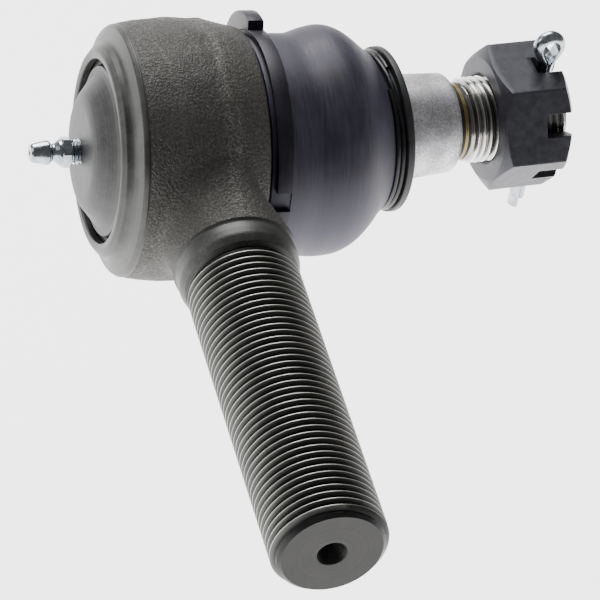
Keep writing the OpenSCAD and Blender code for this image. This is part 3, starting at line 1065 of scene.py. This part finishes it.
@dataclass(frozen=True)
class GreaseFitting:
    """Grease fitting: head, neck, hexagon and a short thread."""

    hex_af: float = 7.14
    hex_front: float = -35.6
    hex_back: float = -33.2
    hex_edge_r: float = 3.6
    hex_corner_r: float = 4.15
    hex_chamfer: float = 0.4
    head_r: float = 3.1
    neck_r: float = 2.2
    tip: float = -43.4
    seat: float = -26.4
    thread: Thread = Thread(3.175, 25.4 / 28)
    columns: int = 96

    def build(self, finishes: Finishes) -> None:
        """The head's lathe, with the hexagon's radius held to its flats, and the thread."""
        thread_end = self.thread.root_r - 0.02
        head = rounded([(self.tip + 1.4, 0, 0), (self.tip + 1.4, 0.7, 0), (self.tip, 0.8, 0.1),
                        (self.tip, 1.95, 0.25), (self.tip + 0.5, 2.4, 0.3),
                        (-39.5, self.head_r, 0.4), (-38.7, self.head_r, 0.5),
                        (-38.0, self.neck_r, 0.5), (-37.4, self.neck_r, 0.5),
                        (-36.2, self.head_r, 0.5), (self.hex_front, 3.3, 0),
                        (self.hex_front, self.hex_edge_r, 0),
                        (self.hex_front + self.hex_chamfer, self.hex_corner_r, 0),
                        (self.hex_back - self.hex_chamfer, self.hex_corner_r, 0),
                        (self.hex_back, self.hex_edge_r, 0), (self.hex_back, thread_end, 0)], 6)
        grid = lathe(refined(head, 0.25), self.columns)
        angle = np.arange(self.columns) * TAU / self.columns
        flat = self.hex_af / 2 / np.cos((angle + TAU / 12) % (TAU / 6) - TAU / 12)
        radius = np.hypot(grid[..., 1], grid[..., 2])
        inside = (grid[..., 0] >= self.hex_front) & (grid[..., 0] <= self.hex_back)
        held = np.minimum(1, flat / np.maximum(radius, 1e-6))
        grid[..., 1:] *= np.where(inside, held, 1)[..., None]
        thread = self.thread.strip(self.hex_back, self.seat, thread_end, thread_end, 0.5,
                                   self.columns)
        close = lathe(np.array([[self.seat, thread_end], [self.seat, 0.0]]), self.columns)
        piece = Piece("grease_nipple", [Patch(grid), Patch(thread, False), Patch(close)],
                      sharp_deg=30)
        piece.dress([finishes.zinc.build()])
        piece.ride("socket", "zinc", "grease_fitting")


@dataclass(frozen=True)
class BallStud:
    """Ball, neck, taper, stained undercut and the nut's thread."""

    ball_r: float = 19.05
    flat_angle: float = 0.35
    neck_r: float = 10.2
    taper_end: float = 67.2
    stain_from: float = 69.1
    stain_to: float = 70.1
    thread_start: float = 70.8
    foot_r: float = 9.95
    tip_chamfer: float = 1.6
    reach: float = 97.4
    columns: int = 120
    thread: Thread = Thread(11.1125, 25.4 / 14)

    def build(self, finishes: Finishes) -> None:
        """A lathe to the undercut, then the thread's strip and the domed end."""
        a = np.linspace(self.flat_angle, math.pi - math.asin(self.neck_r / self.ball_r), 60)
        ball = np.stack([-self.ball_r * np.cos(a), self.ball_r * np.sin(a)], axis=1)
        shaft = rounded([(ball[-1, 0], self.neck_r, 0), (26, self.neck_r, 4), (38, 13.1, 2),
                         (44, 14.3, 2), (66.6, 12.9, 0.9), (self.taper_end + 0.3, 12.0, 0.6),
                         (self.taper_end + 1.0, 10.0, 0.5), (self.thread_start - 0.7, 9.9, 0.5),
                         (self.thread_start, self.foot_r, 0)], 6)
        start = np.array([[-self.ball_r * math.cos(self.flat_angle), 0.0]])
        body = np.concatenate([start, ball, shaft[1:]])
        tip_r = self.thread.major_r - self.tip_chamfer
        tip = rounded([(self.reach, tip_r, 0), (self.reach, 3.4, 0.3), (self.reach - 1.6, 0.9, 0),
                       (self.reach - 1.8, 0, 0)], 5)
        thread = self.thread.strip(self.thread_start, self.reach, self.foot_r, tip_r, 1.0,
                                   self.columns)
        piece = Piece("stud", [Patch(lathe(refined(body, 1.0), self.columns)),
                               Patch(thread, False), Patch(lathe(refined(tip, 1.0), self.columns))],
                      STUD_AXIS, 34)
        # Crest mark for the wear and painted highlight on the stud's thread.
        piece.mark("edge", self.thread.worn(piece.local_points(), self.thread_start, self.reach,
                                            0.7, 0.96))
        bounds = [self.taper_end + 0.2, self.stain_from, self.stain_to, self.thread_start]
        piece.dress([finishes.taper.build(), finishes.groove.build(), finishes.stain.build(),
                     finishes.stud_thread.build()],
                    lambda c: np.array([0, 1, 2, 1, 3])[np.digitize(c[:, 0], bounds)])
        piece.ride("stud", "stud_steel", "ball_stud")


@dataclass(frozen=True)
class CastleNut:
    """Slotted hexagon nut."""

    af: float = 33.34
    height: float = 19.05
    start: float = 77.6
    bore_r: float = 11.14
    slot_w: float = 6.1
    slot_depth: float = 7.6
    face_r: float = 16.0
    end_r: float = 15.2
    ring_r: float = 13.5
    chamfer_deg: float = 30.0
    countersink: float = 0.9
    end_countersink: float = 0.7
    slot_fillet: float = 0.35
    edge_round: float = 0.22
    columns: int = 192

    def outside(self) -> Patch:
        """Face, chamfer cone met by the flats, flats, chamfer, far face and countersunk bore."""
        angle = np.arange(self.columns) * TAU / self.columns
        flat = self.af / 2 / np.cos(angle % (TAU / 6) - TAU / 12)
        slope = math.tan(math.radians(self.chamfer_deg))
        rise = (flat - self.face_r) * slope
        t = np.linspace(0, 1, 9)[:, None]
        cone_r, cone_u = self.face_r + (flat - self.face_r) * t, rise * t
        end_rise = (flat - self.end_r) * slope
        end_r, end_u = self.end_r + (flat - self.end_r) * t, self.height - end_rise * t
        s = np.linspace(0, 1, 12)[1:-1, None]
        side_u = rise + (self.height - rise - end_rise) * s
        mouth_r = self.bore_r + self.countersink
        rows = [(np.array([[0.0], [0.0]]), np.array([[mouth_r], [self.ring_r]])),
                (cone_u, cone_r), (side_u, flat + 0 * side_u),
                (end_u[::-1], end_r[::-1]),
                (np.array([[1.0], [1.0]]) * self.height,
                 np.array([[self.ring_r], [self.bore_r + self.end_countersink]])),
                (np.array([[self.height - self.end_countersink], [self.countersink], [0.0]]),
                 np.array([[self.bore_r], [self.bore_r], [mouth_r]]))]
        u = np.concatenate([np.broadcast_to(a, (len(a), self.columns)) for a, _ in rows])
        r = np.concatenate([np.broadcast_to(b, (len(b), self.columns)) for _, b in rows])
        return Patch(around(self.start + u, r, angle))

    def cut_slots(self, piece: Piece) -> None:
        """Cuts three crossing slots out of the far end, then rounds the edges a little."""
        deep = self.slot_depth + 2
        middle = np.array([self.start + self.height - self.slot_depth + deep / 2, 0, 0])
        bars = []
        for k in range(3):
            turn = TAU / 12 + k * TAU / 6
            bar = block((0, 0, 0), (deep, 60, self.slot_w), self.slot_fillet).grid
            c, s = math.cos(turn), math.sin(turn)
            bar = bar @ np.array([[1, 0, 0], [0, c, s], [0, -s, c]])
            bars.append(bar + middle)
        cutters = [Piece(f"slot_cutter_{k}", [Patch(bar)], STUD_AXIS)
                   for k, bar in enumerate(bars)]
        for cutter in cutters:
            cut = piece.object.modifiers.new("cut", "BOOLEAN")
            cut.operation, cut.solver, cut.object = "DIFFERENCE", "EXACT", cutter.object
        edge = piece.object.modifiers.new("edge", "BEVEL")
        edge.width, edge.segments, edge.limit_method = self.edge_round * MM, 2, "ANGLE"
        edge.angle_limit = math.radians(28)
        edge.use_clamp_overlap = True
        graph = bpy.context.evaluated_depsgraph_get()
        solid = bpy.data.meshes.new_from_object(piece.object.evaluated_get(graph))
        piece.object.modifiers.clear()
        piece.object.data = solid
        solid.set_sharp_from_angle(angle=math.radians(25))
        for cutter in cutters:
            bpy.data.objects.remove(cutter.object)

    def build(self, finishes: Finishes) -> None:
        """Builds, slots and dresses the nut."""
        piece = Piece("slotted_nut", [self.outside()], STUD_AXIS, 20)
        self.cut_slots(piece)
        piece.dress([finishes.black.build()])
        piece.ride("stud", "black_steel", "castle_nut")


@dataclass(frozen=True)
class CotterPin:
    """Split pin of half-round wire through the nut and stud, left straight."""

    at: float = 92.55
    radius: float = 1.95
    long_leg: float = -31.5
    short_leg: float = -28.7
    lean: float = 0.0256
    half_gap: float = 0.06
    leg_top: float = 15.6
    leg_points: int = 16
    edge_angle: float = 0.12
    edge_in: float = 0.12

    def build(self, finishes: Finishes) -> None:
        """A half-round section swept up one leg, round the eye and down the other."""
        side = np.array([(self.half_gap, 16.0), (0.3, 18.0), (1.5, 20.2), (2.35, 22.5),
                         (1.8, 24.6)])
        eye = np.concatenate([side * (-1, 1), [(0, 25.5)], side[::-1]])
        eye = curve_through(eye, 90)
        legs = [np.stack([np.full(self.leg_points, s * self.half_gap),
                          np.linspace(a, b, self.leg_points)], axis=1)
                for s, a, b in ((-1, self.long_leg, self.leg_top),
                                (1, self.leg_top, self.short_leg))]
        flat = np.concatenate([legs[0], eye, legs[1]])
        path = np.stack([self.at + flat[:, 0] - self.lean * flat[:, 1], 0 * flat[:, 0],
                         flat[:, 1]], axis=1)
        a = np.linspace(self.edge_angle, math.pi - self.edge_angle, 14)
        section = np.stack([self.radius * np.cos(a), self.radius * np.sin(a)], axis=1)
        section = np.concatenate([[[self.radius - self.edge_in, 0.0]], section,
                                  [[self.edge_in - self.radius, 0.0]]])
        wire = sweep(path, section, np.array([0.0, 1, 0]))
        piece = Piece("split_pin", [Patch(wire)], STUD_AXIS, 40)
        piece.dress([finishes.zinc.build()])
        piece.ride("stud", "zinc", "cotter_pin")


@dataclass(frozen=True)
class DustBoot:
    """Rubber boot in two shells that meet where its middle body swings."""

    base: float = 16.7
    meet: float = 30.0
    mouth: float = 45.6
    wall: float = 2.2
    swing_from: float = 16.5
    swing_to: float = 46.0
    foot_from: float = 11.35
    foot_to: float = 17.1
    foot_inner_r: float = 25.6
    foot_outer_r: float = 28.35
    columns: int = 144

    def swung(self, grid: Array) -> Array:
        """Tips and turns points by the stud's rest angles times 3t^2 - 2t^3 along the boot."""
        t = np.clip((grid[..., 0] - self.swing_from) / (self.swing_to - self.swing_from), 0, 1)
        share = t * t * (3 - 2 * t)
        p, q = REST_PITCH * share, REST_YAW * share
        x, y, z = (grid[..., k] for k in range(3))
        x1, z1 = x * np.cos(p) - z * np.sin(p), x * np.sin(p) + z * np.cos(p)
        return np.stack([x1 * np.cos(q) - y * np.sin(q), x1 * np.sin(q) + y * np.cos(q), z1], -1)

    def outer(self) -> Array:
        """The outside: a low waist, the bulge and the long fall to the mouth."""
        return curve_through(np.array([
            (self.base, 28.7), (20.0, 28.62), (24.2, 28.42), (28.4, 29.12), (32.4, 29.35),
            (35.4, 28.75), (38.0, 27.5), (40.6, 25.5), (43.2, 23.0), (self.mouth, 20.9)]), 90)

    def shell(self, name: str, low: float, high: float) -> Piece:
        """One closed shell between two distances along the boot.

        Args:
            name: the piece's name.
            low: where it starts.
            high: where it ends.

        Returns:
            The piece.
        """
        line = self.outer()
        u = np.linspace(low, high, 42)
        outside = np.stack([u, np.interp(u, line[:, 0], line[:, 1])], axis=1)
        slope = np.gradient(outside, axis=0)
        slope /= np.linalg.norm(slope, axis=1, keepdims=True)
        inside = outside + np.stack([slope[:, 1], -slope[:, 0]], axis=1) * self.wall
        inside[[0, -1], 0] = outside[[0, -1], 0]
        return Piece(name, [Patch(self.swung(lathe(hollow(outside, inside), self.columns)))],
                     SOCKET_AXIS, 50)

    def build(self, finishes: Finishes) -> None:
        """Builds both shells, each bent to the stud's rest angles, and adds the gripped foot."""
        rubber = finishes.rubber.build()
        foot = rounded([(self.foot_from, self.foot_inner_r, 0),
                        (self.foot_from, self.foot_outer_r, 0.3),
                        (self.foot_to, self.foot_outer_r, 0.2),
                        (self.foot_to, self.foot_inner_r, 0),
                        (self.foot_from, self.foot_inner_r, 0)], 4)
        for name, low, high, first, second in (
                ("boot_skirt", self.base, self.meet, "socket", "boot"),
                ("boot_crown", self.meet, self.mouth, "boot", "collar")):
            piece = self.shell(name, low, high)
            piece.dress([rubber])
            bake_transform(piece.object)
            piece.stand_for("boot_rubber", "dust_boot")
        piece = Piece("boot_foot", [Patch(lathe(foot, self.columns))])
        piece.dress([rubber])
        piece.ride("socket", "boot_rubber", "dust_boot")


@dataclass(frozen=True)
class BootBand:
    """Split steel band with an arched lug."""

    start: float = 12.4
    width: float = 4.1
    inner_r: float = 28.52
    thickness: float = 1.5
    lug_from: float = 16.0
    lug_to: float = 60.0
    lug_middle: float = 38.0
    lug_h: float = 4.9
    lug_fall: float = 0.0052
    lug_sunk: float = 0.4
    lug_fillet: float = 0.35
    lug_points: int = 60
    strap_from: float = 171.0
    strap_to: float = 521.0

    def lug(self) -> Patch:
        """An arch on the band: its top falls with the square of the angle from its middle."""
        a = np.linspace(self.lug_from, self.lug_to, self.lug_points)
        outside = self.inner_r + self.thickness
        top = outside + self.lug_h - self.lug_fall * (a - self.lug_middle) ** 2
        foot = np.full(self.lug_points, outside - self.lug_sunk)
        fillet, u = self.lug_fillet, self.start
        rows = [(u, foot), (u, top - fillet), (u + 0.1, top - 0.1), (u + fillet, top),
                (u + self.width - fillet, top), (u + self.width - 0.1, top - 0.1),
                (u + self.width, top - fillet), (u + self.width, foot), (u, foot)]
        grid = np.stack([around(x, r, np.radians(a)) for x, r in rows], axis=1)
        ends = [np.repeat(row.mean(axis=0)[None, None], len(rows), axis=1) for row in grid[[0, -1]]]
        return Patch(np.concatenate([ends[0], grid, ends[1]]), False)

    def build(self, finishes: Finishes) -> None:
        """The band is a rounded rectangle swept round; the lug stands on it."""
        a = np.radians(np.linspace(self.strap_from, self.strap_to, 220))
        path = around(self.start + self.width / 2, self.inner_r + self.thickness / 2, a)
        strap = sweep(path, box_outline(self.width, self.thickness, 0.22), np.array([1.0, 0, 0]))
        piece = Piece("clamp_band", [Patch(strap), self.lug()], sharp_deg=40)
        piece.dress([finishes.band.build()])
        piece.ride("socket", "black_steel", "boot_band")


@dataclass(frozen=True)
class BootCollar:
    """Plastic collar in the boot's mouth and the split wire in its groove."""

    start: float = 44.2
    bore_r: float = 14.4
    groove_r: float = 19.3
    lip_r: float = 21.3
    lip_end: float = 51.0
    wire_r: float = 0.68
    wire_from: float = 108.0
    wire_sweep: float = 700.0
    wire_places: tuple[float, float] = (46.75, 48.15)
    wire_crossing: tuple[float, float] = (5.6, 6.8)
    columns: int = 144

    def build(self, finishes: Finishes) -> None:
        """The collar's lathe, and nearly two turns of round wire, the second beside the first."""
        outer = rounded([(self.start, self.bore_r, 0), (self.start, self.groove_r, 0.2),
                         (49.0, self.groove_r, 0.3), (49.1, self.lip_r, 0.3),
                         (self.lip_end, self.lip_r, 0.6), (self.lip_end, 14.3, 0.2),
                         (self.start, self.bore_r, 0)], 6)
        collar = Piece("mouth_collar", [Patch(lathe(refined(outer, 1.0), self.columns))],
                       STUD_AXIS, 40)
        collar.dress([finishes.collar.build()])
        collar.ride("collar", "collar_plastic", "boot_collar")
        a = np.radians(self.wire_from + np.linspace(0, self.wire_sweep, 360))
        u = np.interp(a, [a[0] + turn for turn in self.wire_crossing], self.wire_places)
        coil = sweep(around(u, self.groove_r + self.wire_r + 0.1, a), circle(self.wire_r, 14),
                     np.array([1.0, 0, 0]))
        wire = Piece("retaining_wire", [Patch(coil)], STUD_AXIS, 50)
        wire.dress([finishes.ring.build()])
        wire.ride("collar", "black_steel", "wire_ring")


@dataclass(frozen=True)
class Spring:
    """A coil of round wire round the socket's axis."""

    name: str
    node: str
    joint: str
    radii: tuple[float, float]
    ends: tuple[float, float]
    turns: float
    wire_r: float
    anchor: float
    travel: float

    def build(self, finish: bpy.types.Material) -> None:
        """Sweeps a circle along a coil whose radius and distance change evenly.

        Args:
            finish: the spring's finish.
        """
        t = np.linspace(0, 1, int(36 * self.turns))
        u, r = (np.interp(t, [0, 1], pair) for pair in (self.ends, self.radii))
        coil = sweep(around(u, r, TAU * self.turns * t), circle(self.wire_r, 12),
                     np.array([1.0, 0, 0]))
        piece = Piece(self.name, [Patch(coil)], SOCKET_AXIS, 50)
        piece.dress([finish])
        piece.ride("socket", "spring_steel", self.node)
        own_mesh(piece.object)


@dataclass(frozen=True)
class InnerParts:
    """Springs, and the bearings and check ball carried over from the frame."""

    preload: Spring = Spring("preload_coil", "preload_spring", "seat_slide", (10.5, 8.0),
                             (-21.82, -26.78), 2.6, 0.98, -27.78, 0.6)
    check: Spring = Spring("check_coil", "check_spring", "check_ball_lift", (1.05, 1.05),
                           (-40.12, -26.9), 6.0, 0.17, -26.72, 0.9)

    def build(self, finishes: Finishes) -> None:
        """Builds the springs and gives each carried-over node its finish."""
        spring = finishes.spring.build()
        self.preload.build(spring)
        self.check.build(spring)
        bearing, zinc = finishes.bearing.build(), finishes.zinc.build()
        for node, finish in (("throat_bearing", bearing), ("pressure_seat", bearing),
                             ("check_ball", zinc)):
            slots = frame["nodes"][node].data.materials
            slots.clear()
            slots.append(finish)
            log.info("%s: carried over", node)


# ---- Studio ----------------------------------------------------------------------------------


@dataclass(frozen=True)
class Studio:
    """White floor, soft lights and the camera."""

    floor_z: float = -0.55
    floor_size: float = 14.0
    aim: Point = (0.0232, -0.0331, -0.0234)
    eye: Point = (-0.28908, -0.75512, 0.68680)
    right: Point = (0.9548, -0.2389, 0.1770)
    up: Point = (0.0394, 0.6916, 0.7212)
    lens: float = 252.0
    sensor: float = 36.0
    far: float = 50.0
    world: float = 0.16
    floor_glow: float = 3.0
    lamps: tuple[tuple[str, Point, float, float], ...] = (
        ("top_light", (-0.1, 1.0, 0.85), 0.9, 28.0), ("left_light", (-1.3, 0.3, 0.5), 0.7, 4.0))

    def floor(self) -> None:
        """A wide flat sheet under the part, slightly lit of its own."""
        h = self.floor_size / 2
        mesh = bpy.data.meshes.new("floor")
        mesh.from_pydata([(-h, -h, self.floor_z), (h, -h, self.floor_z), (h, h, self.floor_z),
                          (-h, h, self.floor_z)], [], [(0, 1, 2, 3)])
        sheet = bpy.data.objects.new("floor", mesh)
        bpy.context.scene.collection.objects.link(sheet)
        shader = Shader("floor_paper")
        spot = shader.node("ShaderNodeTexCoord", {}, {}, "Object")
        tint = shader.blend(shader.noise(spot, 0.5), tone(247, 247, 247), tone(250, 250, 250))
        mesh.materials.append(shader.finish(tint, 0.9, 0.0))
        surface = next(n for n in shader.tree.nodes if n.type == "BSDF_PRINCIPLED")
        surface.inputs["Emission Color"].default_value = (1, 1, 1, 1)
        surface.inputs["Emission Strength"].default_value = self.floor_glow

    def light(self, name: str, place: Sequence[float], size: float, power: float) -> None:
        """Adds a square soft light that faces the part.

        Args:
            name: the light's name.
            place: its place in metres.
            size: its side in metres.
            power: its power in watts.
        """
        data = bpy.data.lights.new(name, "AREA")
        data.shape, data.size, data.energy = "SQUARE", size, power
        lamp = bpy.data.objects.new(name, data)
        lamp.location = place
        lamp.rotation_euler = (Vector(self.aim) - Vector(place)).to_track_quat("-Z", "Y").to_euler()
        bpy.context.scene.collection.objects.link(lamp)

    def camera(self) -> None:
        """Places the camera with its axes set out in full."""
        data = bpy.data.cameras.new("camera")
        data.lens, data.sensor_width, data.clip_end = self.lens, self.sensor, self.far
        camera = bpy.data.objects.new("camera", data)
        right, up = Vector(self.right), Vector(self.up)
        turn = Matrix((right, up, right.cross(up))).transposed()
        camera.matrix_world = Matrix.Translation(self.eye) @ turn.to_4x4()
        bpy.context.scene.collection.objects.link(camera)
        bpy.context.scene.camera = camera

    def build(self) -> None:
        """Sets the whole stage."""
        world = bpy.data.worlds.new("studio")
        world.use_nodes = True
        world.node_tree.nodes["Background"].inputs[0].default_value = (1, 1, 1, 1)
        world.node_tree.nodes["Background"].inputs[1].default_value = self.world
        bpy.context.scene.world = world
        self.floor()
        for lamp in self.lamps:
            self.light(*lamp)
        self.camera()


def main() -> None:
    logging.basicConfig(level=logging.INFO, format="%(name)s: %(message)s")
    finishes = Finishes()
    for assembly in (Socket(), Plug(), GreaseFitting(), BallStud(), CastleNut(), CotterPin(),
                     DustBoot(), BootBand(), BootCollar(), InnerParts()):
        assembly.build(finishes)
    Studio().build()


if __name__ == "__main__":
    main()
